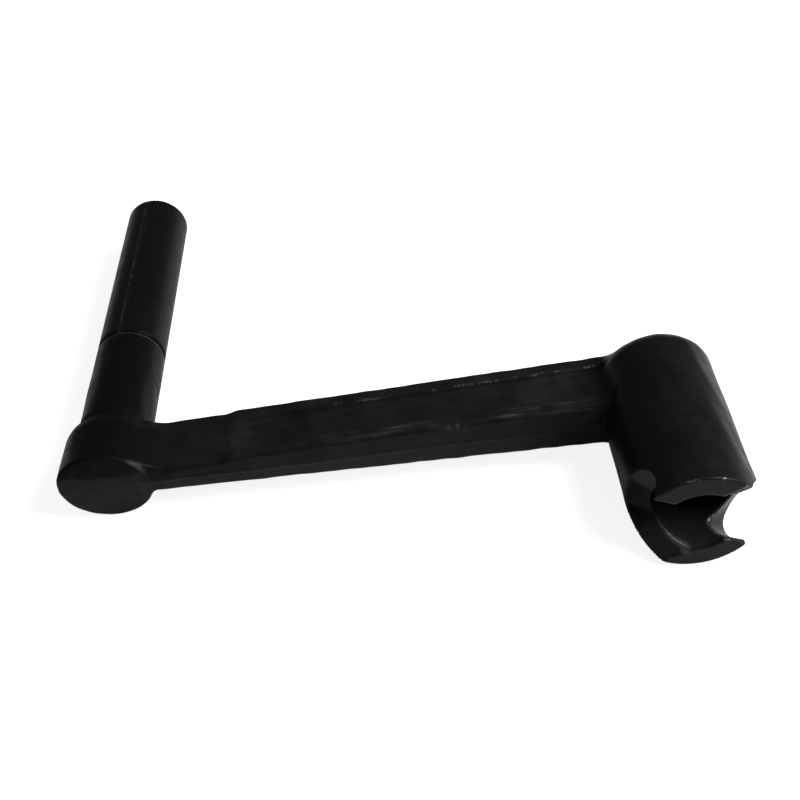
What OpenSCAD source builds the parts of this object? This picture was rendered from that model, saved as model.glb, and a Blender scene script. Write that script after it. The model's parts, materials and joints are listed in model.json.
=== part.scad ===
// Starting handle for a car engine: a drop-forged crank with a hooked claw and a turning grip.
// The bore's axis is Y and the plane z = 0 holds both axes. The plane y = 0 is the arm's middle plane.
// The arm runs from the bore at x = 0 to the grip at x = -throw. The claw faces -Y and the grip points to +Y.

/* [Barrel] */
// Outside diameter of the barrel that holds the claw
barrel_d = 46; // [42:0.5:54]
// Diameter of the bore that slips over the nose of the crankshaft
bore_d = 28.6; // [24:0.1:31]
// Depth of the bore, from the claw's lands
bore_depth = 68; // [45:1:74]
// Rounding of the barrel's closed end
barrel_edge_r = 10; // [3:0.5:11]
// Bevel on the inner and outer edges of the claw's lands
mouth_bevel = 0.5; // [0.3:0.1:1.2]

/* [Claw] */
// Diameter of the cross hole whose two ends are the round seats of the pin
seat_d = 19.8; // [15:0.2:21]
// Depth of the cross hole's axis where it crosses the bore, from the lands
seat_depth = 9.2; // [7:0.1:12]
// Angle of the cross hole round the bore, from +X towards +Z
seat_angle = 152.7; // [144:0.1:160]
// Distance by which the cross hole passes below the bore's axis
seat_offset = 1; // [0:0.1:2]
// Lean of the cross hole along the bore, deeper at the lower hook
seat_lean = 4.75; // [0:0.05:6]
// Distance of each hook's straight wall from the bore's axis
hook_gap = 6.3; // [5:0.1:8]
// Angle round the bore of the lines where the ramps meet the lands, from +X towards +Z
ramp_angle = 24.4; // [18:0.1:30]
// Slope of the ramps against the lands
ramp_slope = 43; // [38:0.5:50]
// Distance from the bore's axis to the line where the upper slot's ramp meets its land
upper_ramp_foot = 12.7; // [9:0.1:15]
// Distance from the bore's axis to the line where the lower slot's ramp meets its land
lower_ramp_foot = 9.4; // [8:0.1:15]
// Depth of the flat between each ramp and its seat, from the lands
slot_floor = 15; // [12:0.2:16.4]

/* [Arm] */
// Distance between the bore's axis and the grip's axis
throw = 220; // [170:1:280]
// Distance from the claw's lands to the arm's middle plane
claw_to_arm = 67; // [60:0.5:90]
// Width of the arm along the axes
arm_w = 29; // [26:0.2:34]
// Thickness of the arm at the grip's axis
arm_t_boss = 11.5; // [10:0.5:15]
// Thickness of the arm at the bore's axis
arm_t_barrel = 22.8; // [18:0.2:28]
// Width of the recess between the arm's two flanges
recess_w = 16.6; // [12:0.2:19]
// Depth of the recess on each side
recess_depth = 2; // [1:0.25:3]
// Distance from the grip's axis to the start of the recess
recess_start = 50; // [44:1:80]
// Height of the upper flanges above the plain part of the arm next to the boss
flange_rise = 1.3; // [0.5:0.1:1.8]
// Length of the slope by which the upper flanges rise
rise_len = 7; // [4:0.5:12]
// Step from the arm's sides to the ends of boss and barrel
end_step = 0.3; // [0.2:0.1:1.5]
// Rounding of the flanges' edges
flange_edge_r = 1.6; // [1:0.2:2.4]
// Draft of each side of the arm, from the parting ridge to the flange
side_draft = 0.6; // [0.2:0.1:1]
// Fillet between the arm and the boss
boss_fillet_r = 12; // [6:0.5:16]
// Fillet between the arm and the barrel
barrel_fillet_r = 6; // [3:0.5:8]

/* [Boss and neck] */
// Diameter of the boss at the arm's end
boss_d = 37; // [34:0.5:42]
// Rounding of the boss's lower edge
boss_edge_r = 4; // [2:0.5:7]
// Height above the arm's middle plane where the boss's domed shoulder starts
shoulder_y = 3; // [0:0.5:6]
// Radius of the boss's domed shoulder
shoulder_r = 12; // [9:0.5:15]
// Fillet between the shoulder and the neck
crease_r = 1.5; // [0.8:0.1:3]
// Length of the neck, from the arm's middle plane to the turning sleeve
neck_len = 63.4; // [50:0.2:80]
// Bevel of the neck's end
neck_bevel = 0.6; // [0.3:0.1:1]

/* [Grip] */
// Outside diameter of the neck and of the sleeve
grip_d = 29.6; // [27:0.2:33]
// Length of the turning sleeve
sleeve_len = 104.6; // [80:0.2:130]
// Wall of the sleeve
sleeve_wall = 2; // [1.5:0.1:3]
// Thickness of the sleeve's closed-in end
lip_t = 2; // [1.5:0.1:3]
// Rounding of the sleeve's closed-in end
lip_edge_r = 1.8; // [0.8:0.1:1.9]
// Width of the seam along the rolled sleeve
seam_w = 0.8; // [0.5:0.1:1.2]
// Depth of the seam
seam_depth = 0.6; // [0.3:0.1:0.9]
// Angle of the seam round the grip, from +X towards +Z
seam_angle = 94; // [60:1:120]

/* [Spindle and washers] */
// Diameter of the tail that is pressed into the neck
tail_d = 18; // [14:0.5:20]
// Length of the tail
tail_len = 45; // [30:1:60]
// Diameter of the spigot that holds the end washer
spigot_d = 14; // [11:0.5:16]
// Diameter of the head that is peened over the end washer
head_d = 20; // [18:0.5:22]
// Height of the peened head
head_h = 3; // [2:0.25:4]
// Thickness of the thrust washer between neck and sleeve
thrust_washer_t = 1.6; // [1:0.1:2.5]
// Step of the thrust washer's rim below the grip's surface
thrust_washer_step = 0.7; // [0.4:0.1:1.2]
// Outside diameter of the end washer
end_washer_d = 25; // [23:0.5:26]
// Thickness of the end washer
end_washer_t = 2; // [1:0.1:3]

/* [Clearances] */
// Running clearance between sleeve and spindle, on the radius
running_clear = 0.08; // [0.04:0.01:0.1]
// End play at each end of the sleeve
end_play = 0.3; // [0.2:0.05:0.4]
// Clearance of each washer round the spindle, on the radius
washer_clear = 0.2; // [0.1:0.05:0.3]
// Clearance of the sleeve's closed-in end round the spigot, on the radius
lip_clear = 0.5; // [0.35:0.05:0.8]

/* [Hidden] */
$fn = 96;

paint = [0.11, 0.11, 0.12];
bare_steel = [0.55, 0.54, 0.52];

// Overrun of cutting solids past the faces that they cut
overrun = 3;
// Thickness of the end slices between which the arm is drawn
slice_t = 0.02;
// Sides of the circles that round the arm's section
edge_sides = 24;
// Distance past the bore's axis to which a ramp's cut runs on into the slot
ramp_run_on = 12.4;
// Radius of the parting ridge along the arm's sides
ridge_r = 0.5;

barrel_r = barrel_d / 2;
bore_r = bore_d / 2;
boss_r = boss_d / 2;
grip_r = grip_d / 2;
seat_r = seat_d / 2;
land_y = -claw_to_arm;
claw_reach = barrel_r + overrun;
end_y = arm_w / 2 + end_step;
barrel_len = claw_to_arm + end_y;
taper_angle = atan((arm_t_barrel - arm_t_boss) / 2 / throw);

journal_r = grip_r - sleeve_wall - running_clear;
sleeve_start = neck_len + thrust_washer_t + end_play;
sleeve_end = sleeve_start + sleeve_len;
journal_end = sleeve_end - lip_t - end_play;
end_washer_start = sleeve_end + end_play;
spigot_end = end_washer_start + end_washer_t;

// Turns a shape whose axis is Z so that its axis is the line along +Y through [x, y, 0]
module along_y(x, y) {
    translate([x, y, 0])
        rotate([-90, 0, 0])
            children();
}

// Half of the barrel's section: straight, with a bevelled mouth and a rounded closed end
module barrel_section() {
    straight = barrel_len - barrel_edge_r;
    polygon([
        [0, 0],
        [barrel_r - mouth_bevel, 0],
        [barrel_r, mouth_bevel],
        [barrel_r, straight],
        [0, straight]
    ]);
    square([barrel_r - barrel_edge_r, barrel_len]);
    translate([barrel_r - barrel_edge_r, straight])
        circle(barrel_edge_r);
}

// Half of the boss's section: a drum with a rounded lower edge and a domed shoulder that ends at the neck
module boss_section() {
    dome_x = boss_r - shoulder_r;
    crease_x = grip_r + crease_r - dome_x;
    crease_y = sqrt(pow(shoulder_r + crease_r, 2) - crease_x * crease_x);
    translate([0, boss_edge_r - end_y])
        square([boss_r, end_y - boss_edge_r + shoulder_y]);
    translate([0, -end_y])
        square([boss_r - boss_edge_r, end_y]);
    translate([boss_r - boss_edge_r, boss_edge_r - end_y])
        circle(boss_edge_r);
    intersection() {
        translate([dome_x, shoulder_y])
            circle(shoulder_r);
        square([boss_r, shoulder_y + shoulder_r]);
    }
    translate([dome_x, shoulder_y])
        difference() {
            polygon([
                [0, 0],
                [crease_x, crease_y] * shoulder_r / (shoulder_r + crease_r),
                [crease_x, crease_y],
                [grip_r - dome_x, crease_y],
                [0, crease_y]
            ]);
            translate([crease_x, crease_y])
                circle(crease_r);
        }
    polygon([
        [0, 0],
        [grip_r, 0],
        [grip_r, neck_len - neck_bevel],
        [grip_r - neck_bevel, neck_len],
        [0, neck_len]
    ]);
}

// Section of the arm: flanges with rounded edges, sides drafted from a ridge at the parting plane
module arm_section(t) {
    for (side = [-1, 1]) {
        translate([side * (arm_w / 2 - ridge_r), 0])
            circle(ridge_r, $fn = edge_sides);
        for (face = [-1, 1])
            translate([side * (arm_w / 2 - side_draft - flange_edge_r), face * (t / 2 - flange_edge_r)])
                circle(flange_edge_r, $fn = edge_sides);
    }
}

module arm_slice(x, t) {
    translate([x, 0, 0])
        rotate([90, 0, 90])
            linear_extrude(slice_t)
                arm_section(t);
}

// Recess between the flanges on the upper side, sunk parallel to the tapering face
module arm_recess() {
    translate([-throw, 0, arm_t_boss / 2 - recess_depth])
        rotate([0, -taper_angle, 0])
            linear_extrude(arm_t_barrel) {
                translate([recess_start + recess_w / 2, 0])
                    circle(recess_w / 2);
                translate([recess_start + recess_w / 2, -recess_w / 2])
                    square([throw - recess_start - recess_w / 2, recess_w]);
            }
}

// Space above the plain part of the arm, from the boss to where the upper flanges rise
module plain_relief() {
    rise_end = recess_start + rise_len / 2;
    translate([-throw, arm_w / 2 + overrun, arm_t_boss / 2])
        rotate([0, -taper_angle, 0])
            rotate([90, 0, 0])
                linear_extrude(arm_w + 2 * overrun)
                    polygon([
                        [-overrun, -flange_rise],
                        [rise_end - rise_len, -flange_rise],
                        [rise_end, 0],
                        [rise_end, overrun],
                        [-overrun, overrun]
                    ]);
}

// Fillets between a round disc at the origin and an arm that leaves it along +X
module root_fillets(disc_r, half_t, fillet_r) {
    span = disc_r + fillet_r;
    rise = half_t + fillet_r;
    reach = sqrt(span * span - rise * rise);
    for (side = [0, 1])
        mirror([0, side])
            difference() {
                polygon([[0, 0], [reach, rise] * disc_r / span, [reach, rise], [reach, 0]]);
                translate([reach, rise])
                    circle(fillet_r);
            }
}

// Places a shape on the cross hole, with the hole's axis along X
module on_cross_hole() {
    rotate([0, -seat_angle, 0])
        translate([0, land_y + seat_depth, seat_offset])
            rotate([0, 0, -seat_lean])
                children();
}

// Open mouth of a slot, from the hook's straight wall to the ramp's side of the seat
module slot_mouth(side) {
    wall = hook_gap + side * seat_offset;
    on_cross_hole()
        rotate([0, 90 - 90 * side, 0])
            translate([0, -seat_depth - overrun, -wall])
                cube([claw_reach, seat_depth + overrun, wall + seat_r]);
}

// Cut above a ramp: a slope from the land down to the flat beside the seat
module ramp_cut(foot) {
    run = 1 / tan(ramp_slope);
    rotate([0, -ramp_angle, 0])
        translate([0, land_y, 0])
            rotate([90, 0, 90])
                linear_extrude(claw_reach)
                    polygon([
                        [-overrun, foot + overrun * run],
                        [slot_floor, foot - slot_floor * run],
                        [slot_floor, -ramp_run_on],
                        [-overrun, -ramp_run_on]
                    ]);
}

// Claw: one cross hole, and on each side a mouth and a ramp that lead the pin into its seat
module claw_cut() {
    on_cross_hole()
        rotate([0, 90, 0])
            cylinder(d = seat_d, h = 2 * claw_reach, center = true);
    for (side = [-1, 1])
        slot_mouth(side);
    ramp_cut(lower_ramp_foot);
    rotate([0, 180, 0])
        ramp_cut(upper_ramp_foot);
}

module crank_forging() {
    color(paint)
        difference() {
            union() {
                difference() {
                    hull() {
                        arm_slice(-throw, arm_t_boss);
                        arm_slice(-slice_t, arm_t_barrel);
                    }
                    arm_recess();
                    mirror([0, 0, 1])
                        arm_recess();
                    plain_relief();
                }
                along_y(0, land_y)
                    rotate_extrude()
                        barrel_section();
                along_y(-throw, 0)
                    rotate_extrude()
                        boss_section();
                along_y(-throw, boss_edge_r - end_y)
                    linear_extrude(end_y - boss_edge_r + shoulder_y)
                        root_fillets(boss_r, arm_t_boss / 2 - flange_rise, boss_fillet_r);
                along_y(0, flange_edge_r - arm_w / 2)
                    linear_extrude(arm_w / 2 - flange_edge_r + end_y - barrel_edge_r)
                        rotate(180)
                            root_fillets(barrel_r, arm_t_barrel / 2, barrel_fillet_r);
            }
            along_y(0, land_y)
                cylinder(r = bore_r, h = bore_depth);
            along_y(0, land_y)
                cylinder(r1 = bore_r + mouth_bevel, r2 = bore_r, h = mouth_bevel);
            claw_cut();
            along_y(-throw, neck_len - tail_len)
                cylinder(d = tail_d, h = tail_len + overrun);
        }
}

// Pin of the grip: pressed tail, journal for the sleeve, spigot and peened head
module grip_spindle() {
    dome_r = (head_h * head_h + head_d * head_d / 4) / (2 * head_h);
    color(bare_steel) {
        along_y(-throw, neck_len - tail_len)
            cylinder(d = tail_d, h = tail_len);
        along_y(-throw, neck_len)
            cylinder(r = journal_r, h = journal_end - neck_len);
        along_y(-throw, journal_end)
            cylinder(d = spigot_d, h = spigot_end - journal_end);
        intersection() {
            along_y(-throw, spigot_end)
                cylinder(d = head_d, h = head_h);
            translate([-throw, spigot_end + head_h - dome_r, 0])
                sphere(dome_r);
        }
    }
}

// Turning grip: a rolled tube whose far end is closed in to a lip
module grip_sleeve() {
    bore = grip_r - sleeve_wall;
    color(paint)
        difference() {
            along_y(-throw, sleeve_start)
                rotate_extrude()
                    difference() {
                        union() {
                            square([grip_r, sleeve_len - lip_edge_r]);
                            square([grip_r - lip_edge_r, sleeve_len]);
                            translate([grip_r - lip_edge_r, sleeve_len - lip_edge_r])
                                circle(lip_edge_r);
                        }
                        square([bore, sleeve_len - lip_t]);
                        square([spigot_d / 2 + lip_clear, sleeve_len]);
                    }
            translate([-throw, sleeve_start - overrun, 0])
                rotate([0, -seam_angle, 0])
                    translate([grip_r - seam_depth, 0, -seam_w / 2])
                        cube([seam_depth + overrun, sleeve_len + 2 * overrun, seam_w]);
        }
}

module washer(outer_r, inner_r, t) {
    linear_extrude(t)
        difference() {
            circle(outer_r);
            circle(inner_r);
        }
}

module thrust_washer() {
    color(bare_steel)
        along_y(-throw, neck_len)
            washer(grip_r - thrust_washer_step, journal_r + washer_clear, thrust_washer_t);
}

module end_washer() {
    color(bare_steel)
        along_y(-throw, end_washer_start)
            washer(end_washer_d / 2, spigot_d / 2 + washer_clear, end_washer_t);
}

crank_forging();
grip_spindle();
grip_sleeve();
thrust_washer();
end_washer();
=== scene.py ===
"""Looks of a car starting handle: a well-used black forging with a hooked claw, and a tube grip that turns.
"""
import json
import math

import bpy
import numpy as np
from mathutils import Euler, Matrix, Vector


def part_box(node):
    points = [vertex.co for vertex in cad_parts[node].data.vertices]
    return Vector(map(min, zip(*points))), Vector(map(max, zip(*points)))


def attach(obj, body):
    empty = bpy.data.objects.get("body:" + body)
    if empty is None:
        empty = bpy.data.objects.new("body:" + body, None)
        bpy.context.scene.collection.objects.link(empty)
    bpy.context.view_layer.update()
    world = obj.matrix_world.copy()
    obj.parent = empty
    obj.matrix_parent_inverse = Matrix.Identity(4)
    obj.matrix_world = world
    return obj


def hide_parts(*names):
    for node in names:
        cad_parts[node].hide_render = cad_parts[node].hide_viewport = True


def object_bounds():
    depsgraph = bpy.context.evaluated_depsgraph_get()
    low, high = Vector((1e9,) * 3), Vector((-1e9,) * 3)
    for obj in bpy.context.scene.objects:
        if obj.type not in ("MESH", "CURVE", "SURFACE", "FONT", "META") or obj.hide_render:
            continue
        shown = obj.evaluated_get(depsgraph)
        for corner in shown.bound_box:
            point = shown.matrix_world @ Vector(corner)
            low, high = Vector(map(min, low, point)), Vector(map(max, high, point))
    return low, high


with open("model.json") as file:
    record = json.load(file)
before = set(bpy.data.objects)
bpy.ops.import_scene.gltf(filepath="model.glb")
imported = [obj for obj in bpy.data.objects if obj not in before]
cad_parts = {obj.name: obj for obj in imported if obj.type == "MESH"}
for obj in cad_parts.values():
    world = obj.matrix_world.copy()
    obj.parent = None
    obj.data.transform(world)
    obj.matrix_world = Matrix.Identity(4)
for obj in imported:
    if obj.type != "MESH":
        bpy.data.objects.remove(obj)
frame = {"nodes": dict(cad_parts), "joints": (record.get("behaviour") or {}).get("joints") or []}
cad_low, cad_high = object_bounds()

MM = 0.001

# Barrel. Sizes are in millimetres, in the frame of the part
forging_low, forging_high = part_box("crank_forging")
THROW = -frame["joints"][0]["pos_m"][0] / MM
BARREL_R = forging_high.z / MM
LAND_Y = forging_low.y / MM
BORE_R = 14.3
BORE_END = 1.0
END_Y = 14.8
BARREL_EDGE = 10.0
# Lean of the barrel's closed end and of the boss's shoulder, against the plane across the axes
END_TILT = 0.045
END_DROP = 0.3
# Small roundings: on the neck's end and the bore, and on the lands of the claw
EDGE = 0.6
CLAW_EDGE = 0.4

# Boss and neck
BOSS_R = 18.5
BOSS_EDGE = 0.8
# Boss's end: its distance at the grip's axis, and how it leans along the arm and across it
BOSS_END = 14.2
BOSS_LEAN = 0.02
BOSS_FALL = 0.1
SHOULDER_Y = 3.8
SHOULDER_R = 12.0
NECK_R = 14.8
NECK_END = forging_high.y / MM
CREASE_R = 0.7
# Hole in the neck for the spindle's tail
TAIL_R = 9.0
TAIL_LEN = 45.0

# Arm: half thickness at the boss and at the barrel, flanges, recess and fillets
ARM_HALF_W = 14.5
ARM_T = (5.75, 11.4)
SIDE_DRAFT = 0.6
FLANGE_EDGE = 1.7
RECESS_HALF = 8.3
RECESS_WALL = 1.7
RECESS_DEPTH = 2.0
RECESS_RUN = (48.0, 60.0)
FLANGE_RISE = 1.3
RISE_RUN = (46.5, 53.5)
BOSS_FILLET = 12.0
UNDER_FILLET = 4.0
BARREL_FILLET = 5.0
CORNER_FILLET = 1.4
# How far the arm's front side sinks into the boss, under the boss's flat end, and along which stretch
BOSS_INSET = 3.0
INSET_RUN = (BOSS_R - 2, BOSS_R - 9)
# Line that the two dies leave on the arm's sides, and how it wanders
PARTING_H = 0.22
PARTING_W = 0.55
PARTING_WANDER = 0.4
PARTING_WAVE = 17
# Unevenness of the forged skin, and the runs over which it sets in from the claw and from the neck's end
FORGED_H = 0.09
FORGED_FROM_CLAW = (0, 14)
FORGED_FROM_NECK = (NECK_END, NECK_END - 20)

# Claw: one cross hole through the barrel, and on each side of it a mouth and a ramp
UPPER, LOWER = 1, -1
SEAT_R = 9.9
SEAT_DEPTH = 9.2
SEAT_ANGLE = math.radians(152.7)
SEAT_OFFSET = 1.0
SEAT_LEAN = math.tan(math.radians(4.75))
HOOK_GAP = {UPPER: 5.9, LOWER: 5.2}
RAMP_ANGLE = math.radians(24.4)
RAMP_SLOPE = math.radians(43.0)
RAMP_FOOT = {UPPER: 12.7, LOWER: 8.6}
# Depth of the flat at the foot of each ramp, on the barrel's outside, and what it loses towards the bore
SLOT_FLOOR = {UPPER: 16.8, LOWER: 15.0}
SLOT_FLOOR_LOSS = 4.0
# A seat's depth in radii on the outside, and the shares of depth and width that it loses towards the bore
SEAT_DEEP = 0.95
SEAT_DISH = {UPPER: 0.5, LOWER: 0.63}
SEAT_NARROW = 0.2
# Width of the flat that a seat ends in along the bore
SEAT_LIP = 1.2
# Wear on the ridges inside the slots and on the edges round them
SLOT_WEAR = 0.8
SLOT_EDGE = 0.4
# The stretch from the lands, and the margin round the barrel, in which the slots are cut
CLAW_REACH = 30
CLAW_MARGIN = 4

# Sleeve: wall, turned-in lip at its outer end, and the seam of the rolled tube
SLEEVE_WALL = 2.0
SLEEVE_BEVEL = 0.2
LIP_R = 7.5
LIP_T = 2.0
LIP_EDGE = 1.8
LIP_STEPS = 8
# Rows of points along the tube, their distance from its ends, and the sides round it
SLEEVE_ROWS = 40
SLEEVE_INSET = 2.0
SLEEVE_SIDES = 540
SEAM_ANGLE = math.radians(94.0)
SEAM_W = 0.8
SEAM_DEPTH = 0.5
# In half widths of the seam: where its wall starts and ends, and how far wear and dust reach
SEAM_WALL = (0.55, 1.45)
SEAM_WEAR_REACH = 2.4
SEAM_DUST_REACH = 5.0
SEAM_WEAR = 0.35
SEAM_DUST = 0.7
SLEEVE_DUST = 0.15


# Shapes as distance fields

def smooth(low, high, v):
    """Soft step from 0 at low to 1 at high."""
    t = np.clip((v - low) / (high - low), 0, 1)
    return t * t * (3 - 2 * t)


def meet(a, b, r):
    """Inside of both a and b, with the corner between them rounded to r."""
    qa, qb = a + r, b + r
    return np.minimum(np.maximum(qa, qb), 0) + np.hypot(np.maximum(qa, 0), np.maximum(qb, 0)) - r


def join(a, b, r):
    """Inside of a or b, with a fillet of radius r between them."""
    return np.maximum(r, np.minimum(a, b)) - np.hypot(np.maximum(r - a, 0), np.maximum(r - b, 0))


def wave_noise(seed, count, longest, shortest):
    """A smooth wavy field from a few sine waves with fixed directions."""
    rng = np.random.default_rng(seed)
    way = rng.normal(size=(count, 3))
    way /= np.linalg.norm(way, axis=1)[:, None]
    length = np.geomspace(longest, shortest, count)
    phase = rng.uniform(0, 2 * np.pi, count)

    def field(x, y, z):
        out = np.zeros_like(x)
        for w, l, p in zip(way, length, phase):
            k = 2 * np.pi / l
            out += np.sin(k * (w[0] * x + w[1] * y + w[2] * z) + p)
        return out / math.sqrt(count)
    return field


forged = wave_noise(seed=3, count=12, longest=30.0, shortest=6.0)
patchy = wave_noise(seed=8, count=10, longest=40.0, shortest=4.0)


def across_seat(x, z):
    """Distance across the seats from the line through the barrel's axis that they lie on."""
    return x * math.sin(SEAT_ANGLE) - z * math.cos(SEAT_ANGLE)


def below_ramp(x, z, depth, side):
    """Distance below the surface of one ramp, in that ramp's own turn round the barrel."""
    rise = z * math.cos(RAMP_ANGLE) - x * math.sin(RAMP_ANGLE)
    return (depth - (rise + RAMP_FOOT[side]) * math.tan(RAMP_SLOPE)) * math.cos(RAMP_SLOPE)


def slot_distance(x, z, depth, rho, side):
    """Signed distance to the empty space of one slot of the claw, negative in the slot."""
    x, z = side * x, side * z
    out = x * math.cos(SEAT_ANGLE) + z * math.sin(SEAT_ANGLE)
    across = across_seat(x, z) + side * SEAT_OFFSET
    below = depth - SEAT_DEPTH + side * SEAT_LEAN * out
    inward = np.clip((BARREL_R - rho) / (BARREL_R - BORE_R - SEAT_LIP), 0, 1)
    wide = 1 - SEAT_NARROW * inward
    deep = SEAT_DEEP * (1 - SEAT_DISH[side] * inward)
    seat = np.hypot(across / wide, np.where(below > 0, below / deep, below)) - SEAT_R
    mouth = np.maximum(across - HOOK_GAP[side] - side * SEAT_OFFSET, -SEAT_R * wide - across)
    pocket = np.maximum(np.minimum(seat, np.maximum(mouth, below)), -out)

    slot_floor = depth - SLOT_FLOOR[side] + SLOT_FLOOR_LOSS * inward
    ramp = np.maximum(np.maximum(below_ramp(x, z, depth, side), slot_floor), across)
    ramp = np.maximum(ramp, x * math.cos(RAMP_ANGLE) + z * math.sin(RAMP_ANGLE))
    return join(pocket, ramp, SLOT_WEAR)


def barrel_distance(x, y, rho):
    """The barrel without its bore: well rounded at the closed end, sharp at the claw."""
    barrel = meet(rho - BARREL_R, y - END_Y + END_DROP - END_TILT * x, BARREL_EDGE)
    return meet(barrel, LAND_Y - y, CLAW_EDGE)


def barrel_root(y):
    """Radius of the barrel that the arm's fillets run into, at the height y."""
    low = BARREL_R - CORNER_FILLET - BARREL_EDGE
    rounded = low + np.sqrt(np.maximum(BARREL_EDGE ** 2 - (y - END_Y + BARREL_EDGE) ** 2, 0))
    return np.where(y > END_Y - BARREL_EDGE, rounded, low + BARREL_EDGE)


def boss_radius(y):
    """Radius of boss, shoulder and neck at the height y."""
    rise = np.clip(y - SHOULDER_Y, 0, SHOULDER_R)
    return np.maximum(BOSS_R - SHOULDER_R + np.sqrt(SHOULDER_R ** 2 - rise ** 2), NECK_R)


def boss_end_depth(along, y, z):
    """Distance inwards from the flat end of the boss."""
    return y + BOSS_END - BOSS_LEAN * along + BOSS_FALL * z


def boss_distance(along, y, z, rho_g):
    """The boss with its rounded shoulder, and the neck that stands on it."""
    shoulder_y = y - SHOULDER_Y - END_TILT * along
    drum = np.hypot(np.maximum(rho_g - BOSS_R + SHOULDER_R, 0), np.maximum(shoulder_y, 0)) - SHOULDER_R
    drum = meet(drum, -boss_end_depth(along, y, z), BOSS_EDGE)
    neck = np.maximum(meet(rho_g - NECK_R, y - NECK_END, EDGE), -y)
    return join(drum, neck, CREASE_R)


def half_thickness(along):
    """Half of the arm's thickness, which grows from the boss to the barrel."""
    return ARM_T[0] + (ARM_T[1] - ARM_T[0]) * along / THROW


def arm_distance(along, y, z, rho, rho_g):
    """The I-section arm, filleted into the boss and the barrel, with the dies' parting line on its sides."""
    half = half_thickness(along)
    sunk = smooth(RECESS_HALF, RECESS_HALF - RECESS_WALL, np.abs(y)) * smooth(*RECESS_RUN, along)
    plain = FLANGE_RISE * np.where(z > 0, smooth(*RISE_RUN[::-1], along), 0)
    face = np.abs(z) - half + np.maximum(RECESS_DEPTH * sunk, plain)
    fillet = np.where(z > 0, BOSS_FILLET, UNDER_FILLET)
    web = join(face, rho_g - boss_radius(y) + CORNER_FILLET, fillet)
    web = join(web, rho - barrel_root(y), BARREL_FILLET)
    flank = np.abs(y) - ARM_HALF_W + SIDE_DRAFT * np.clip(np.abs(z) / half, 0, 1)
    flank = flank + np.where(y < 0, BOSS_INSET * smooth(*INSET_RUN, along), 0)
    parting_z = PARTING_WANDER * np.sin(along / PARTING_WAVE)
    flank = flank - PARTING_H * np.exp(-((z - parting_z) / PARTING_W) ** 2)
    web = meet(web, flank, FLANGE_EDGE)
    return np.maximum(web, np.maximum(-along, along - THROW))


def forging_distance(x, y, z):
    """Signed distance to the surface of the forging, in millimetres, negative inside."""
    along, depth = x + THROW, y - LAND_Y
    rho, rho_g = np.hypot(x, z), np.hypot(along, z)
    solid = join(arm_distance(along, y, z, rho, rho_g), barrel_distance(x, y, rho), CORNER_FILLET)
    solid = join(solid, boss_distance(along, y, z, rho_g), CORNER_FILLET)
    rough = smooth(*FORGED_FROM_CLAW, depth) * smooth(*FORGED_FROM_NECK, y)
    solid = solid + FORGED_H * forged(x, y, z) * rough

    bore = np.maximum(rho - BORE_R, y - BORE_END)
    tail = np.maximum(rho_g - TAIL_R, NECK_END - TAIL_LEN - y)
    solid = np.maximum(meet(solid, -bore, EDGE), -tail)

    claw = (depth < CLAW_REACH) & (x > -BARREL_R - CLAW_MARGIN)
    if claw.any():
        part = solid[claw]
        for side in (UPPER, LOWER):
            slot = slot_distance(x[claw], z[claw], depth[claw], rho[claw], side)
            part = meet(part, -slot, SLOT_EDGE)
        solid[claw] = part
    return solid


# Meshes from distance fields

# Grid planes worked on at a time, rounds of pulling the mesh to the surface, and the longest pull in one
GRID_SLAB = 16
PULL_ROUNDS = 4
PULL_LIMIT = 0.4
# Step over which the field's slope is measured, and the least squared slope and length to divide by
SLOPE_STEP = 0.05
LEAST_SLOPE = 0.05
LEAST_LENGTH = 1e-9


def steps(*stretches):
    """Grid lines along one axis: (start, end, spacing) for each stretch."""
    lines = [np.linspace(a, b, max(2, round((b - a) / s) + 1)) for a, b, s in stretches]
    return np.unique(np.round(np.concatenate(lines), 6))


def beside(verts, step):
    """The points moved up and down by a step along each axis in turn."""
    for axis in range(3):
        up, down = verts.copy(), verts.copy()
        up[:, axis] += step
        down[:, axis] -= step
        yield axis, up, down


def slope_at(distance, verts):
    """Slope of the field at each vertex."""
    slope = np.empty_like(verts)
    for axis, up, down in beside(verts, SLOPE_STEP):
        slope[:, axis] = (distance(*up.T) - distance(*down.T)) / (2 * SLOPE_STEP)
    return slope


def sharpness(distance, verts, step):
    """How strongly the surface bends outwards at each vertex, per millimetre."""
    here = distance(*verts.T)
    bend = np.zeros(len(verts))
    for _, up, down in beside(verts, step):
        bend += distance(*up.T) + distance(*down.T) - 2 * here
    return bend / (step * step)


def pull(distance, verts):
    """Move the vertices onto the surface of the field, in place."""
    for _ in range(PULL_ROUNDS):
        value, slope = distance(*verts.T), slope_at(distance, verts)
        move = value[:, None] * slope / np.maximum((slope ** 2).sum(1), LEAST_SLOPE)[:, None]
        length = np.linalg.norm(move, axis=1)
        verts -= move * np.minimum(1, PULL_LIMIT / np.maximum(length, LEAST_LENGTH))[:, None]


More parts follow.
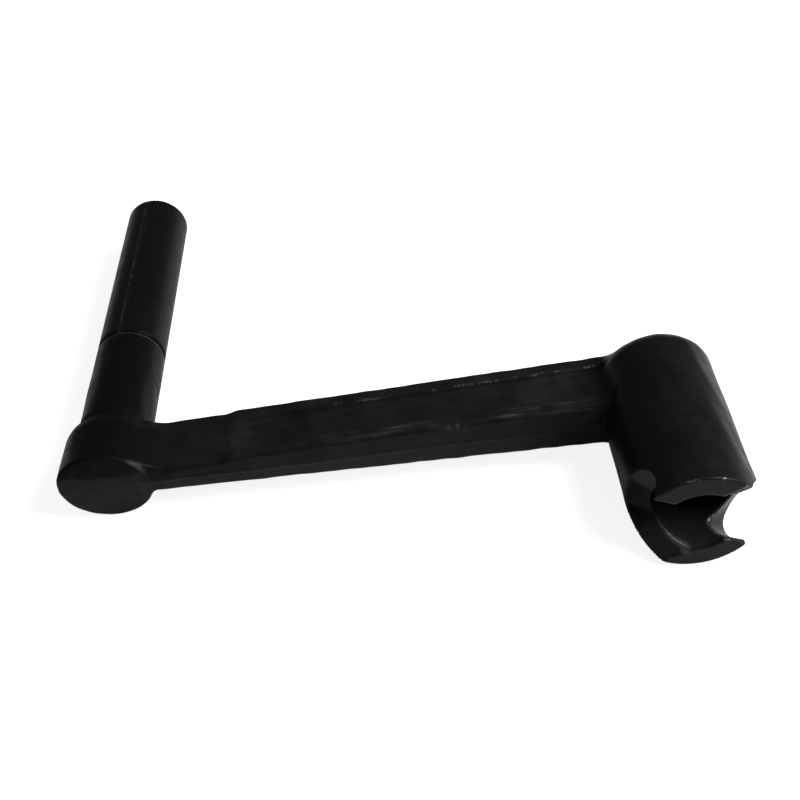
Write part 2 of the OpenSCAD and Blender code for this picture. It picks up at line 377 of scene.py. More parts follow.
def skin(distance, xs, ys, zs):
    """Quad mesh of the zero surface of a distance field on a grid, pulled onto the surface."""
    grid = (xs, ys, zs)
    f = np.empty((len(xs), len(ys), len(zs)), np.float64)
    for i in range(0, len(xs), GRID_SLAB):
        f[i:i + GRID_SLAB] = distance(*np.meshgrid(xs[i:i + GRID_SLAB], ys, zs, indexing="ij"))
    shape = tuple(n - 1 for n in f.shape)
    cells = shape[0] * shape[1] * shape[2]
    total, count, faces = np.zeros((3, cells)), np.zeros(cells), []
    for axis in range(3):
        lo = [slice(None)] * 3
        hi = [slice(None)] * 3
        lo[axis], hi[axis] = slice(None, -1), slice(1, None)
        f0, f1 = f[tuple(lo)], f[tuple(hi)]
        at = np.argwhere((f0 < 0) != (f1 < 0))
        v0, v1 = f0[tuple(at.T)], f1[tuple(at.T)]
        pos = [grid[k][at[:, k]] for k in range(3)]
        spacing = grid[axis][at[:, axis] + 1] - grid[axis][at[:, axis]]
        pos[axis] = pos[axis] + v0 / (v0 - v1) * spacing
        b, c = (axis + 1) % 3, (axis + 2) % 3
        ids = []
        for db, dc in ((-1, -1), (0, -1), (0, 0), (-1, 0)):
            cell = at.copy()
            cell[:, b] += db
            cell[:, c] += dc
            flat = (cell[:, 0] * shape[1] + cell[:, 1]) * shape[2] + cell[:, 2]
            ids.append(flat)
            count += np.bincount(flat, minlength=cells)
            for k in range(3):
                total[k] += np.bincount(flat, pos[k], minlength=cells)
        quad = np.stack(ids, 1)
        quad[v0 > 0] = quad[v0 > 0][:, ::-1]
        faces.append(quad)
    used = np.flatnonzero(count)
    verts = (total[:, used] / count[used]).T
    index = np.full(cells, -1)
    index[used] = np.arange(len(used))
    pull(distance, verts)
    return verts, index[np.concatenate(faces)]


def mesh_object(name, verts_mm, faces, material):
    """A smooth-shaded object from vertices in millimetres."""
    mesh = bpy.data.meshes.new(name)
    mesh.from_pydata((np.asarray(verts_mm) * MM).tolist(), [], np.asarray(faces).tolist())
    mesh.polygons.foreach_set("use_smooth", np.ones(len(mesh.polygons), bool))
    mesh.materials.append(material)
    mesh.update()
    obj = bpy.data.objects.new(name, mesh)
    bpy.context.scene.collection.objects.link(obj)
    return obj


def point_values(obj, name, values):
    """Store one number for each vertex under a name that the paint reads."""
    data = obj.data.attributes.new(name, "FLOAT", "POINT").data
    data.foreach_set("value", np.asarray(values, np.float32))


# Materials

BLACK = (0.004, 0.004, 0.0046)
# Paler colour for dust, and for painted light on the boss's end, the arm's lower front and in the slots
DUST_AND_LIGHT_COLOR = (0.018, 0.0178, 0.0186)
# Near black for painted shade in creases, corners and on the top of the boss's end
SHADE_BLACK = (0.0022, 0.0022, 0.0024)
# Bare metal for wear, and for the painted highlight on the boss's edge
WORN_AND_HIGHLIGHT = (0.13, 0.127, 0.122)
WORN_AND_HIGHLIGHT_METALLIC = 0.8
PAINT_SPECULAR = 0.125
PAINT_ROUGH = 0.4
PAINT_ROUGH_RANGE = (0.27, 0.41)
# What full painted shade adds to the paint's roughness
SHADE_ROUGH = 0.4
# Part of the streaks' noise that shows, and how strongly
STREAK_RANGE = (0.52, 0.72)
STREAK_LEVEL = 0.7
DUST_AND_LIGHT_PATCHES = (0.55, 1.45)
# Sum of wear and noise at which a chip starts, and at which it is bare
CHIP_RANGE = (1.0, 1.35)
SKIN_BUMP = 0.25
SKIN_BUMP_M = 0.0004
STEEL = (0.3, 0.29, 0.28)
OILED = (0.05, 0.047, 0.043)
RUBBED = (0.32, 0.31, 0.295)
RUBBED_RANGE = (0.4, 0.68)
STEEL_ROUGH = 0.42
STEEL_ROUGH_RANGE = (0.34, 0.5)
# Noises of the dust and painted light, the chips, the streaks, the gloss, the forged skin, the oil film and
# the turned steel
DUST_AND_LIGHT_NOISE = {"scale": 55.0, "detail": 4.0}
CHIP_NOISE = {"scale": 650.0, "detail": 2.0}
STREAK_NOISE = {"scale": 1.0, "stretch": (25.0, 900.0, 900.0)}
GLOSS_NOISE = {"scale": 160.0}
SKIN_NOISE = {"scale": 300.0, "detail": 4.0}
OIL_NOISE = {"scale": 120.0, "detail": 5.0, "rough": 0.65}
STEEL_NOISE = {"scale": 500.0}
# Range that most values of a noise texture lie in
NOISE_RANGE = (0.3, 0.7)
UNIT = (0.0, 1.0)


def principled(name, color, roughness, metallic=0.0):
    """A material with a Principled BSDF set to plain values."""
    mat = bpy.data.materials.new(name)
    mat.use_nodes = True
    shader = mat.node_tree.nodes["Principled BSDF"]
    shader.inputs["Base Color"].default_value = (*color, 1)
    shader.inputs["Roughness"].default_value = roughness
    shader.inputs["Metallic"].default_value = metallic
    return mat, mat.node_tree, shader


def noise_node(tree, scale, detail=3.0, rough=0.55, stretch=None):
    """Noise on Object coordinates, which can be stretched along an axis."""
    where = tree.nodes.new("ShaderNodeTexCoord").outputs["Object"]
    if stretch is not None:
        mapping = tree.nodes.new("ShaderNodeMapping")
        mapping.inputs["Scale"].default_value = stretch
        tree.links.new(where, mapping.inputs["Vector"])
        where = mapping.outputs["Vector"]
    noise = tree.nodes.new("ShaderNodeTexNoise")
    noise.inputs["Scale"].default_value = scale
    noise.inputs["Detail"].default_value = detail
    noise.inputs["Roughness"].default_value = rough
    tree.links.new(where, noise.inputs["Vector"])
    return noise.outputs["Fac"]


def spread(tree, value, source, target):
    """The value carried from one range to another, and held at its ends."""
    node = tree.nodes.new("ShaderNodeMapRange")
    for name, number in zip(("From Min", "From Max", "To Min", "To Max"), (*source, *target)):
        node.inputs[name].default_value = number
    tree.links.new(value, node.inputs["Value"])
    return node.outputs["Result"]


def mix_color(tree, factor, first, second):
    """A mix of two colours, each of them a tuple or a socket."""
    node = tree.nodes.new("ShaderNodeMix")
    node.data_type = "RGBA"
    for name, color in (("A", first), ("B", second)):
        if isinstance(color, tuple):
            node.inputs[name].default_value = (*color, 1)
        else:
            tree.links.new(color, node.inputs[name])
    tree.links.new(factor, node.inputs["Factor"])
    return node.outputs["Result"]


def combine(tree, operation, *values):
    """A Math node on sockets and plain numbers."""
    node = tree.nodes.new("ShaderNodeMath")
    node.operation = operation
    for socket, value in zip(node.inputs, values):
        if isinstance(value, float):
            socket.default_value = value
        else:
            tree.links.new(value, socket)
    return node.outputs["Value"]


def surface_value(tree, name):
    """A number that is stored on the vertices."""
    node = tree.nodes.new("ShaderNodeAttribute")
    node.attribute_name = name
    return node.outputs["Fac"]


def chipped(tree, wear, noise):
    """Bare where the wear and the noise together pass one, so that little wear leaves only specks."""
    total = combine(tree, "ADD", wear, spread(tree, noise, NOISE_RANGE, UNIT))
    return spread(tree, total, CHIP_RANGE, UNIT)


def black_paint():
    """Satin black paint over a forged skin: dusty places and painted light make it paler, wear bares the
    metal and shows painted highlights, painted shade blackens corners and creases.
    """
    mat, tree, shader = principled("black_paint", BLACK, PAINT_ROUGH)
    shader.inputs["Specular IOR Level"].default_value = PAINT_SPECULAR
    patches = spread(tree, noise_node(tree, **DUST_AND_LIGHT_NOISE), NOISE_RANGE, DUST_AND_LIGHT_PATCHES)
    # Dust, with painted light on the boss's end, the arm's lower front and in the slots, makes the paint
    # paler
    dust_and_light = combine(tree, "MULTIPLY", surface_value(tree, "dust_and_light"), patches)
    chips = chipped(tree, surface_value(tree, "wear"), noise_node(tree, **CHIP_NOISE))
    streaks = spread(tree, noise_node(tree, **STREAK_NOISE), STREAK_RANGE, (0.0, STREAK_LEVEL))
    scraped = combine(tree, "MULTIPLY", surface_value(tree, "scrape"), streaks)
    worn_and_highlight = combine(tree, "MAXIMUM", chips, scraped)
    # The rubbed metal also carries the painted highlight on the boss's edge and painted reflection on the
    # seats
    worn_and_highlight = combine(tree, "MAXIMUM", worn_and_highlight, surface_value(tree, "rub_and_highlight"))
    # Painted shade: darker, rougher paint in creases, corners and on the top of the boss's end
    painted_shade = surface_value(tree, "painted_shade")
    color = mix_color(tree, dust_and_light, BLACK, DUST_AND_LIGHT_COLOR)
    color = mix_color(tree, painted_shade, color, SHADE_BLACK)
    tree.links.new(mix_color(tree, worn_and_highlight, color, WORN_AND_HIGHLIGHT), shader.inputs["Base Color"])
    tree.links.new(spread(tree, worn_and_highlight, UNIT, (0.0, WORN_AND_HIGHLIGHT_METALLIC)), shader.inputs["Metallic"])
    rough = spread(tree, noise_node(tree, **GLOSS_NOISE), NOISE_RANGE, PAINT_ROUGH_RANGE)
    rough = combine(tree, "MULTIPLY_ADD", painted_shade, SHADE_ROUGH, rough)
    tree.links.new(rough, shader.inputs["Roughness"])
    bump = tree.nodes.new("ShaderNodeBump")
    bump.inputs["Strength"].default_value = SKIN_BUMP
    bump.inputs["Distance"].default_value = SKIN_BUMP_M
    tree.links.new(noise_node(tree, **SKIN_NOISE), bump.inputs["Height"])
    tree.links.new(bump.outputs["Normal"], shader.inputs["Normal"])
    return mat


def bare_steel():
    """Turned steel under a film of old oil that is rubbed off in patches."""
    mat, tree, shader = principled("bare_steel", STEEL, STEEL_ROUGH, metallic=1.0)
    rubbed = spread(tree, noise_node(tree, **OIL_NOISE), RUBBED_RANGE, UNIT)
    tree.links.new(mix_color(tree, rubbed, OILED, RUBBED), shader.inputs["Base Color"])
    rough = spread(tree, noise_node(tree, **STEEL_NOISE), NOISE_RANGE, STEEL_ROUGH_RANGE)
    tree.links.new(rough, shader.inputs["Roughness"])
    return mat


paint = black_paint()
steel = bare_steel()


# Wear, dust, painted light and painted shade of the forging

# A run is where something starts and where it is full. A level is what it has everywhere and what the patchy
# field adds to that. A place comes with the reach round it.

# How far round a vertex its bend is felt, and the bends that make a sharp edge, a blunt edge and a corner
EDGE_STEP = 0.8
EDGE_BEND = (0.25, 0.9)
BEND_STEP = 2.0
BLUNT_BEND = (0.06, 0.25)
CORNER_BEND = (0.05, 0.25)

# Runs that bound the arm, the boss's end and the slots of the claw
ARM_FROM_BOSS = (BOSS_R - 6, BOSS_R + 14)
ARM_FROM_BARREL = (-BARREL_R + 3, -BARREL_R - 12)
BOSS_MARGIN = 0.5
END_SKIN = (1.6, 0.8)
SLOT_FROM_LAND = (0.4, 1.5)
SLOT_TO_FLOOR = (24, 18)
SLOT_FROM_OUTSIDE = (BARREL_R - 0.3, BARREL_R - 1.0)
SLOT_FROM_BORE = (BORE_R + 0.1, BORE_R + 0.6)
SEAT_FOOT = (-3, 0)

# Chips: the far recess edge, the near flange edge, the edges of the claw, and the lip of the lower seat
RECESS_CHIPS = {"reach": 0.9, "start": (75, 95), "end": (204, 196), "level": (0.42, 0.32)}
FLANGE_CHIPS = {"start": (105, 140), "end": (186, 178), "level": (0.3, 0.35)}
# Distance in from the arm's side and down from its face, and the reach round each
FLANGE_CHIPS_SIDE = (0.8, 1.4)
FLANGE_CHIPS_DOWN = (0.5, 1.6)
CLAW_CHIPS = {"start": (13, 9), "level": (0.15, 0.22)}
LIP_CHIPS = {"bore": (BORE_R + 2.0, BORE_R + 1.0), "side": (5, 8), "level": 1.3}
LIP_CHIPS_DEPTH = ((11, 3.0), (3, 2.5))

# Rubbed metal on the toe of the upper ramp along the bore; a painted highlight as a bright dash on the
# boss's edge; the two seats, rubbed and painted lighter as painted reflection
TOE_WIDTH = (0.8, 3.4)
TOE_TAPER = 0.3
TOE_DEPTH = (11, 2)
TOE_ACROSS = (1, 0.4)
TOE_Z = (-6, -11)
TOE_X = (-1.5, -4.5)
TOE_BORE = (BORE_R + 0.6, BORE_R + 0.3)
TOE_WALL = 0.3
TOE_WEAR = 0.6
WEAR_MOST = 2
TOE_RUB = 0.75
DASH_RADIUS = (BOSS_R - 0.1, 1.0)
DASH_DEPTH = (0.5, 1.4)
# In degrees round the boss
DASH_START = (12, 28)
DASH_END = (50, 38)
# Strength of the painted highlight on the boss's edge
DASH_HIGHLIGHT = 0.5
SEAT_SIDE = (4, 8)
# Rub on the seats, partly painted reflection
SEAT_RUB_AND_REFLECTION = {UPPER: 0.1, LOWER: 0.2}

# Streaks along the near flange: their place across the arm, and the run up to the arm's face
SCRAPE_SIDE = (-ARM_HALF_W + 2.5, 4.0)
SCRAPE_TOP = (2.5, 1.5)
SCRAPE_START = (80, 130)
SCRAPE_END = (200, 180)
SCRAPE_LEVEL = (0.7, 0.6)

# Dust, with painted light in places: levels on each part, and what the arm's front loses, less so towards
# the grip
ARM_DUST = 0.62
FRONT_LOSS = 0.35
FRONT_SKIN = (-ARM_HALF_W + 2.0, -ARM_HALF_W + 0.8)
GRIP_SIDE = (THROW, 60)
GRIP_SIDE_GAIN = 0.6
BARREL_DUST = 0.24
# Dust in the slots, painted lighter also to stand in for light reaching into them
SLOT_DUST_AND_LIGHT = 1.2
# Painted light: the lower half of the boss's end is painted lighter, most towards the bottom
END_LIGHT = 0.9
END_LIGHT_Z = (8, -12)
END_LIGHT_WAVER = 1.5
# The arm's front below the parting line, towards the grip, painted lighter as painted reflection of the
# floor
UNDER_LIGHT = 0.6
UNDER_Z = (0.6, -0.6)
UNDER_END = (150, 110)
DUST_AND_LIGHT_SPOTS = 0.25

# Painted shade, as darker and rougher paint: the neck's root, the corner of arm and barrel, the top of the
# boss's end, the upper slot's foot and the flange where it leaves the boss
NECK_SHADE_START = (5.5, 9)
NECK_SHADE_END = (17.5, 14.5)
ROOT_SHADE = (-BARREL_R, 9)
ROOT_SHADE_Y = (-6, -10)
END_SHADE_Z = (3, 9)
FOOT_SHADE = 0.9
FOOT_SHADE_DEPTH = (8.5, 11)
FLANGE_SHADE = 0.4
FLANGE_SHADE_Z = (0, 3)
FLANGE_SHADE_SIDE = (-ARM_HALF_W, 5)
FLANGE_SHADE_START = (BOSS_R, BOSS_R + 1)
FLANGE_SHADE_END = (40, 26)


def near(value, place, reach):
    """One within a third of the reach from a place, and nothing past the reach."""
    return smooth(reach, reach / 3, np.abs(value - place))


def between(value, start, end):
    """One after the run at the start and before the run at the end."""
    return smooth(*start, value) * smooth(*end, value)


class ForgedSurface:
    """Where the vertices of the forging lie, in the measures that its wear, its dusty places, painted light
    and painted shade follow.
    """

    def __init__(self, verts):
        self.x, self.y, self.z = verts.T
        self.along, self.depth = self.x + THROW, self.y - LAND_Y
        self.rho, self.rho_g = np.hypot(self.x, self.z), np.hypot(self.along, self.z)
        self.half = half_thickness(self.along)
        self.spots = patchy(self.x, self.y, self.z)
        self.edge = smooth(*EDGE_BEND, sharpness(forging_distance, verts, EDGE_STEP))
        bend = sharpness(forging_distance, verts, BEND_STEP)
        self.blunt = smooth(*BLUNT_BEND, bend)
        self.corner = smooth(*CORNER_BEND, -bend)
        self.on_arm = smooth(*ARM_FROM_BOSS, self.along) * smooth(*ARM_FROM_BARREL, self.x)
        self.on_barrel = smooth(*ARM_FROM_BARREL[::-1], self.x)
        self.by_boss = self.rho_g < BOSS_R + BOSS_MARGIN
        self.end_depth = boss_end_depth(self.along, self.y, self.z)
        self.on_end = smooth(*END_SKIN, self.end_depth) * self.by_boss
        self.in_slot = self.on_barrel * between(self.depth, SLOT_FROM_LAND, SLOT_TO_FLOOR)
        self.in_slot = self.in_slot * smooth(*SLOT_FROM_OUTSIDE, self.rho)
        self.on_wall = self.in_slot * smooth(*SLOT_FROM_BORE, self.rho)
        self.across = across_seat(self.x, self.z)

    def patched(self, level):
        """A level with its share of the patchy field."""
        return level[0] + level[1] * self.spots


def edge_chips(s):
    """Bare specks along edges that knock against things."""
    recess = near(s.y, RECESS_HALF, RECESS_CHIPS["reach"]) * s.patched(RECESS_CHIPS["level"])
    recess = recess * between(s.along, RECESS_CHIPS["start"], RECESS_CHIPS["end"])
    side, side_reach = FLANGE_CHIPS_SIDE
    down, down_reach = FLANGE_CHIPS_DOWN
    flange = near(s.y, -ARM_HALF_W + side, side_reach) * near(np.abs(s.z), s.half - down, down_reach)
    flange = flange * between(s.along, FLANGE_CHIPS["start"], FLANGE_CHIPS["end"])
    flange = flange * s.patched(FLANGE_CHIPS["level"])
    claw = smooth(*CLAW_CHIPS["start"], s.depth) * s.on_barrel * s.patched(CLAW_CHIPS["level"])
    lip = smooth(*LIP_CHIPS["bore"], s.rho) * smooth(*LIP_CHIPS["side"], s.x) * (s.z < 0)
    lip = lip * sum(near(s.depth, place, reach) for place, reach in LIP_CHIPS_DEPTH)
    return s.edge * (recess + flange + claw + LIP_CHIPS["level"] * lip)


def ramp_toe(s):
    """Worn end of the upper ramp along the bore, widest at the land."""
    width = np.clip(TOE_WIDTH[1] - TOE_TAPER * s.depth, *TOE_WIDTH)
    toe = smooth(*TOE_DEPTH, s.depth) * smooth(*TOE_ACROSS, (s.rho - BORE_R) / width)
    toe = toe * smooth(*TOE_Z, s.z) * smooth(*TOE_X, s.x)
    wall = smooth(width, TOE_WALL * width, below_ramp(s.x, s.z, s.depth, UPPER))
    return np.maximum(s.blunt, smooth(*TOE_BORE, s.rho) * wall) * toe


def boss_highlight(s):
    """Painted highlight: a short bright dash on the edge of the boss's end."""
    bearing = np.degrees(np.arctan2(s.z, s.along))
    on_edge = near(s.rho_g, *DASH_RADIUS) * near(s.end_depth, *DASH_DEPTH)
    return on_edge * between(bearing, DASH_START, DASH_END)


def seat_rub_and_reflection(s):
    """Seats that the cross pin has rubbed, also painted lighter as painted reflection."""
    upper = SEAT_RUB_AND_REFLECTION[UPPER] * smooth(*SEAT_SIDE, -s.x) * smooth(*SEAT_FOOT, s.across)
    return s.on_wall * (SEAT_RUB_AND_REFLECTION[LOWER] * smooth(*SEAT_SIDE, s.x) + upper)


def flange_streaks(s):
    """Streaks along the near flange."""
    run = between(s.along, SCRAPE_START, SCRAPE_END)
    below, full = SCRAPE_TOP
    band = near(s.y, *SCRAPE_SIDE) * smooth(s.half - below, s.half - full, s.z)
    return band * run * np.clip(s.patched(SCRAPE_LEVEL), 0, 1)


def dust_and_painted_light(s):
    """Dusty places on the arm, the barrel and in the slots, with painted light in the slots, on the lower
    half of the boss's end and on the arm's front below the parting line.
    """
    lit_end = s.on_end * smooth(*END_LIGHT_Z, s.z + END_LIGHT_WAVER * s.spots)
    front = smooth(*FRONT_SKIN, s.y) * s.on_arm
    under = front * smooth(*UNDER_Z, s.z) * smooth(*UNDER_END, s.along)
    loss = FRONT_LOSS * front * (1 - GRIP_SIDE_GAIN * smooth(*GRIP_SIDE, s.along))
    level = s.on_arm * (ARM_DUST - loss) + BARREL_DUST * s.on_barrel
    level = level + END_LIGHT * lit_end + SLOT_DUST_AND_LIGHT * s.in_slot + UNDER_LIGHT * under
    return level * (1 + DUST_AND_LIGHT_SPOTS * s.spots)


def painted_shade_mask(s):
    """Painted shade: darker, rougher paint in the neck's crease, the corner of arm and barrel, the top of
    the boss's end, the slot's foot and the flange by the boss.
    """
    neck_root = between(s.y, NECK_SHADE_START, NECK_SHADE_END) * s.by_boss
    arm_root = s.corner * near(s.x, *ROOT_SHADE) * smooth(*ROOT_SHADE_Y, s.y)
    end_top = s.on_end * smooth(*END_SHADE_Z, s.z + s.spots)
    foot = s.on_wall * (s.x < 0) * smooth(*SEAT_FOOT[::-1], s.across) * smooth(*FOOT_SHADE_DEPTH, s.depth)
    flange = smooth(*FLANGE_SHADE_Z, s.z) * near(s.y, *FLANGE_SHADE_SIDE)
    flange = flange * smooth(*FLANGE_SHADE_START, s.rho_g) * smooth(*FLANGE_SHADE_END, s.along)
    return neck_root + arm_root + end_top + FOOT_SHADE * foot + FLANGE_SHADE * flange


# Forging

# Grid spacings: fine at the claw, wide along the arm
CLAW_GRID = 0.6
ACROSS_GRID = 0.66
BOSS_GRID = 0.95
NECK_GRID = 1.1
ARM_GRID = 1.5
# Where the spacing changes, and how far the grid reaches past the forging
BOSS_SPAN = (-THROW - 20.5, -THROW + 20)
BARREL_SPAN = (-26, 24.5)
ACROSS_SPAN = (-24.5, 24.5)
CLAW_TOP = -44
BOSS_TOP = 18
GRID_MARGIN = 1.5

verts, quads = skin(
    forging_distance,
    steps((*BOSS_SPAN, BOSS_GRID), (BOSS_SPAN[1], BARREL_SPAN[0], ARM_GRID), (*BARREL_SPAN, CLAW_GRID)),
    steps((LAND_Y - GRID_MARGIN, CLAW_TOP, CLAW_GRID), (CLAW_TOP, BOSS_TOP, BOSS_GRID),
          (BOSS_TOP, NECK_END + GRID_MARGIN, NECK_GRID)),
    steps((*ACROSS_SPAN, ACROSS_GRID)),
)
forging = mesh_object("forging", verts, quads, paint)
surface = ForgedSurface(verts)
toe = ramp_toe(surface)
# Rubbed metal, with the painted highlight on the boss's edge and painted reflection on the seats
rub_and_highlight = DASH_HIGHLIGHT * boss_highlight(surface) + TOE_RUB * toe + seat_rub_and_reflection(surface)
point_values(forging, "wear", np.clip(edge_chips(surface) + TOE_WEAR * toe, 0, WEAR_MOST))
point_values(forging, "rub_and_highlight", np.clip(rub_and_highlight, 0, 1))
point_values(forging, "scrape", flange_streaks(surface))
# Dust, with painted light on the boss's end, the arm's lower front and in the slots
point_values(forging, "dust_and_light", np.clip(dust_and_painted_light(surface), 0, 1))
# Painted shade in creases, corners and on the top of the boss's end
point_values(forging, "painted_shade", np.clip(painted_shade_mask(surface), 0, 1))
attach(forging, "crank")
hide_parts("crank_forging")


# Sleeve: the section of the rolled tube carried round a circle

def section_curve(radius, length):
    """Section of the tube from its open end to its lip, starting outside at the open end."""
    bore, bevel, lip_in = radius - SLEEVE_WALL, SLEEVE_BEVEL, length - LIP_T
    points = [(radius - bevel, 0), (radius, bevel)]
    rows = np.linspace(SLEEVE_INSET, length - LIP_EDGE - SLEEVE_INSET, SLEEVE_ROWS)
    points += [(radius, a) for a in rows]
    for t in np.linspace(0, math.pi / 2, LIP_STEPS):
        points.append((radius - LIP_EDGE + LIP_EDGE * math.cos(t),
                       length - LIP_EDGE + LIP_EDGE * math.sin(t)))
    points += [(LIP_R + bevel, length), (LIP_R, length - bevel), (LIP_R, lip_in + bevel)]
    points += [(LIP_R + bevel, lip_in), (bore - bevel, lip_in), (bore, lip_in - bevel)]
    points += [(bore, bevel), (bore + bevel, 0)]
    curve = bpy.data.curves.new("sleeve_section", "CURVE")
    curve.dimensions = "2D"
    spline = curve.splines.new("POLY")
    spline.points.add(len(points) - 1)
    for point, (r, a) in zip(spline.points, points):
        point.co = ((r - radius) * MM, a * MM, 0, 1)
    spline.use_cyclic_u = True
    return bpy.data.objects.new("sleeve_section", curve)


def sleeve_tree(material):
    """Geometry nodes that carry a section round a circle and press the seam into the tube."""
    tree = bpy.data.node_groups.new("rolled_sleeve", "GeometryNodeTree")
    face = tree.interface
    ids = {}
    face.new_socket("Geometry", in_out="INPUT", socket_type="NodeSocketGeometry")
    for name, kind in (("Radius", "Float"), ("Sides", "Int"), ("Start", "Vector"),
                       ("Seam Angle", "Float"), ("Seam Width", "Float"), ("Seam Depth", "Float"),
                       ("Seam Wear", "Float"), ("Seam Dust", "Float"), ("Dust", "Float")):
        ids[name] = face.new_socket(name, in_out="INPUT", socket_type="NodeSocket" + kind).identifier
    face.new_socket("Geometry", in_out="OUTPUT", socket_type="NodeSocketGeometry")
    given = tree.nodes.new("NodeGroupInput").outputs

    def node(kind, **inputs):
        made = tree.nodes.new(kind)
        for name, value in inputs.items():
            socket = made.inputs[int(name[1:])] if name[0] == "_" else made.inputs[name.replace("_", " ")]
            if isinstance(value, bpy.types.NodeSocket):
                tree.links.new(value, socket)
            else:
                socket.default_value = value
        return made

    def math_node(operation, a, b=0.0):
        made = node("ShaderNodeMath", _0=a, _1=b)
        made.operation = operation
        return made.outputs[0]

    def times(a, b):
        return math_node("MULTIPLY", a, b)

    def fade(value, full, gone):
        made = node("ShaderNodeMapRange", Value=value, From_Min=full, From_Max=gone, To_Min=1.0, To_Max=0.0)
        made.interpolation_type = "SMOOTHSTEP"
        return made.outputs["Result"]

    def stored(geometry, name, value):
        made = node("GeometryNodeStoreNamedAttribute", Geometry=geometry, Name=name)
        made.data_type = "FLOAT"
        made.domain = "POINT"
        tree.links.new(value, made.inputs["Value"])
        return made.outputs["Geometry"]

    circle = node("GeometryNodeCurvePrimitiveCircle", Resolution=given["Sides"], Radius=given["Radius"])
    tube = node("GeometryNodeCurveToMesh", Curve=circle.outputs["Curve"], Profile_Curve=given["Geometry"])
    at = node("ShaderNodeSeparateXYZ", Vector=node("GeometryNodeInputPosition").outputs["Position"]).outputs
    r = math_node("SQRT", math_node("ADD", times(at["X"], at["X"]), times(at["Y"], at["Y"])))
    turn = math_node("SUBTRACT", math_node("ARCTAN2", at["Y"], at["X"]), given["Seam Angle"])
    arc = times(math_node("ABSOLUTE", turn), given["Radius"])
    half_seam = times(given["Seam Width"], 0.5)
    sunk = fade(arc, *(times(half_seam, share) for share in SEAM_WALL))
    limit = math_node("SUBTRACT", given["Radius"], times(given["Seam Depth"], sunk))
    scale = math_node("DIVIDE", math_node("MINIMUM", r, limit), r)
    place = node("ShaderNodeCombineXYZ", X=times(at["X"], scale), Y=times(at["Y"], scale), Z=at["Z"])
    wear = times(given["Seam Wear"], fade(arc, half_seam, times(half_seam, SEAM_WEAR_REACH)))
    line = times(given["Seam Dust"], fade(arc, half_seam, times(half_seam, SEAM_DUST_REACH)))
    shape = stored(tube.outputs["Mesh"], "wear", wear)
    shape = stored(shape, "dust_and_light", math_node("ADD", given["Dust"], line))
    for kind, settings in (("SetPosition", {"Position": place.outputs["Vector"]}),
                           ("Transform", {"Translation": given["Start"], "Rotation": (math.pi / 2, 0, 0)}),
                           ("SetShadeSmooth", {}),
                           ("RealizeInstances", {}),
                           ("SetMaterial", {"Material": material})):
        shape = node("GeometryNode" + kind, Geometry=shape, **settings).outputs["Geometry"]
    tree.links.new(shape, tree.nodes.new("NodeGroupOutput").inputs[0])
    return tree, ids


def rolled_sleeve(material):
    """The grip's tube as a plain mesh, in the place of the CAD sleeve."""
    low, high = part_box("grip_sleeve")
    radius = (high.x - low.x) / 2
    section = section_curve(radius / MM, (high.y - low.y) / MM)
    bpy.context.scene.collection.objects.link(section)
    tree, ids = sleeve_tree(material)
    rule = section.modifiers.new("rolled_sleeve", "NODES")
    rule.node_group = tree
    sizes = {"Radius": radius, "Sides": SLEEVE_SIDES, "Start": (-THROW * MM, low.y, 0.0),
             "Seam Angle": SEAM_ANGLE, "Seam Width": SEAM_W * MM, "Seam Depth": SEAM_DEPTH * MM,
             "Seam Wear": SEAM_WEAR, "Seam Dust": SEAM_DUST, "Dust": SLEEVE_DUST}
    for name, value in sizes.items():
        rule[ids[name]] = value
    graph = bpy.context.evaluated_depsgraph_get()
    rolled = section.evaluated_get(graph)
    mesh = bpy.data.meshes.new_from_object(rolled, preserve_all_data_layers=True, depsgraph=graph)
    mesh.name = "sleeve"
    bpy.data.objects.remove(section)
    sleeve = bpy.data.objects.new("sleeve", mesh)
    bpy.context.scene.collection.objects.link(sleeve)
    return sleeve


sleeve = rolled_sleeve(paint)
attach(sleeve, "grip")
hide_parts("grip_sleeve")

# Spindle and washers, shown as they are turned

for name in ("grip_spindle", "thrust_washer", "end_washer"):
    node = frame["nodes"][name]
    node.data.materials.clear()
    node.data.materials.append(steel)


# Floor, light and camera

FLOOR_HALF = 5000
FLOOR_GAP = 0.2
FLOOR_COLOR = (0.8, 0.8, 0.8)
FLOOR_ROUGH = 0.9
WHITE = (1, 1, 1, 1)
# Strength of the white that the camera sees on the floor and round it, and of its reflection in gloss
FLOOR_SEEN = 0.86
ROOM_SEEN = 0.94
MIRRORED = 0.1
# Strength of the room's light on everything else
AMBIENT = 0.1
# The one lamp: place and size in metres, power in watts
WINDOW_PLACE = (0.45, -0.1, 0.5)
WINDOW_SIZE = 0.5
WINDOW_POWER = 6.0
# Camera of the photograph: place in metres, turns in degrees, lens and sensor in millimetres
CAMERA_PLACE = (-0.078564, -0.302106, 0.298439)
CAMERA_TURNS = (46.2957, 7.3304, -2.8616)
CAMERA_LENS = 48.06
CAMERA_SENSOR = 36.0
CAMERA_CLIP = 0.01


def background_level(tree, seen, mirrored):
    """Strength that the camera sees, and the duller one that shows in metal and in gloss."""
    rays = tree.nodes.new("ShaderNodeLightPath").outputs
    level = spread(tree, rays["Is Camera Ray"], UNIT, (0.0, seen))
    for ray, strength in (("Is Glossy Ray", mirrored), ("Is Transmission Ray", seen)):
        level = combine(tree, "MAXIMUM", level, spread(tree, rays[ray], UNIT, (0.0, strength)))
    return level


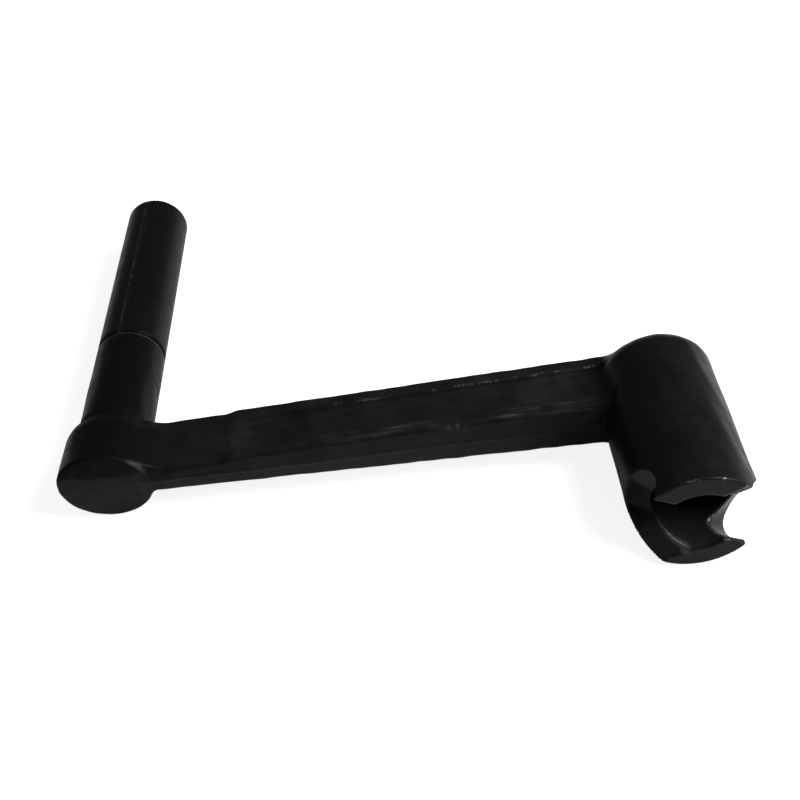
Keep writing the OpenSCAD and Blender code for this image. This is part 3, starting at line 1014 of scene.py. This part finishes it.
def white_floor():
    """Matt white that looks white to the camera and keeps the handle's shadow."""
    mat, tree, shader = principled("white_floor", FLOOR_COLOR, FLOOR_ROUGH)
    shader.inputs["Specular IOR Level"].default_value = 0.0
    shader.inputs["Emission Color"].default_value = WHITE
    tree.links.new(background_level(tree, FLOOR_SEEN, MIRRORED), shader.inputs["Emission Strength"])
    return mat


def white_room():
    """World that is white to the camera and dim to everything else."""
    world = bpy.data.worlds.new("room")
    world.use_nodes = True
    tree = world.node_tree
    ground = tree.nodes["Background"]
    ground.inputs["Color"].default_value = WHITE
    level = combine(tree, "MAXIMUM", background_level(tree, ROOM_SEEN, MIRRORED), AMBIENT)
    tree.links.new(level, ground.inputs["Strength"])
    return world


def soft_light(name, place, aim, size, power):
    """Square lamp at a place, turned to its aim."""
    data = bpy.data.lights.new(name, "AREA")
    data.size = size
    data.energy = power
    lamp = bpy.data.objects.new(name, data)
    bpy.context.scene.collection.objects.link(lamp)
    lamp.location = place
    lamp.rotation_euler = (Vector(aim) - Vector(place)).to_track_quat("-Z", "Y").to_euler()


corners = [(sx * FLOOR_HALF, sy * FLOOR_HALF, 0) for sx, sy in ((-1, -1), (1, -1), (1, 1), (-1, 1))]
floor = mesh_object("floor", corners, [(0, 1, 2, 3)], white_floor())
# The handle lies on its barrel and its boss
floor.location = (0, 0, -(BARREL_R + FLOOR_GAP) * MM)
floor.rotation_euler = (0, math.atan2(BARREL_R - BOSS_R, THROW), 0)

bpy.context.scene.world = white_room()
soft_light("window", WINDOW_PLACE, (cad_low + cad_high) / 2, WINDOW_SIZE, WINDOW_POWER)

camera = bpy.data.cameras.new("camera")
camera.sensor_width = CAMERA_SENSOR
camera.lens = CAMERA_LENS
camera.clip_start = CAMERA_CLIP
eye = bpy.data.objects.new("camera", camera)
bpy.context.scene.collection.objects.link(eye)
eye.location = CAMERA_PLACE
eye.rotation_euler = Euler([math.radians(a) for a in CAMERA_TURNS], "XYZ")
bpy.context.scene.camera = eye
bpy.context.scene.view_settings.view_transform = "Standard"
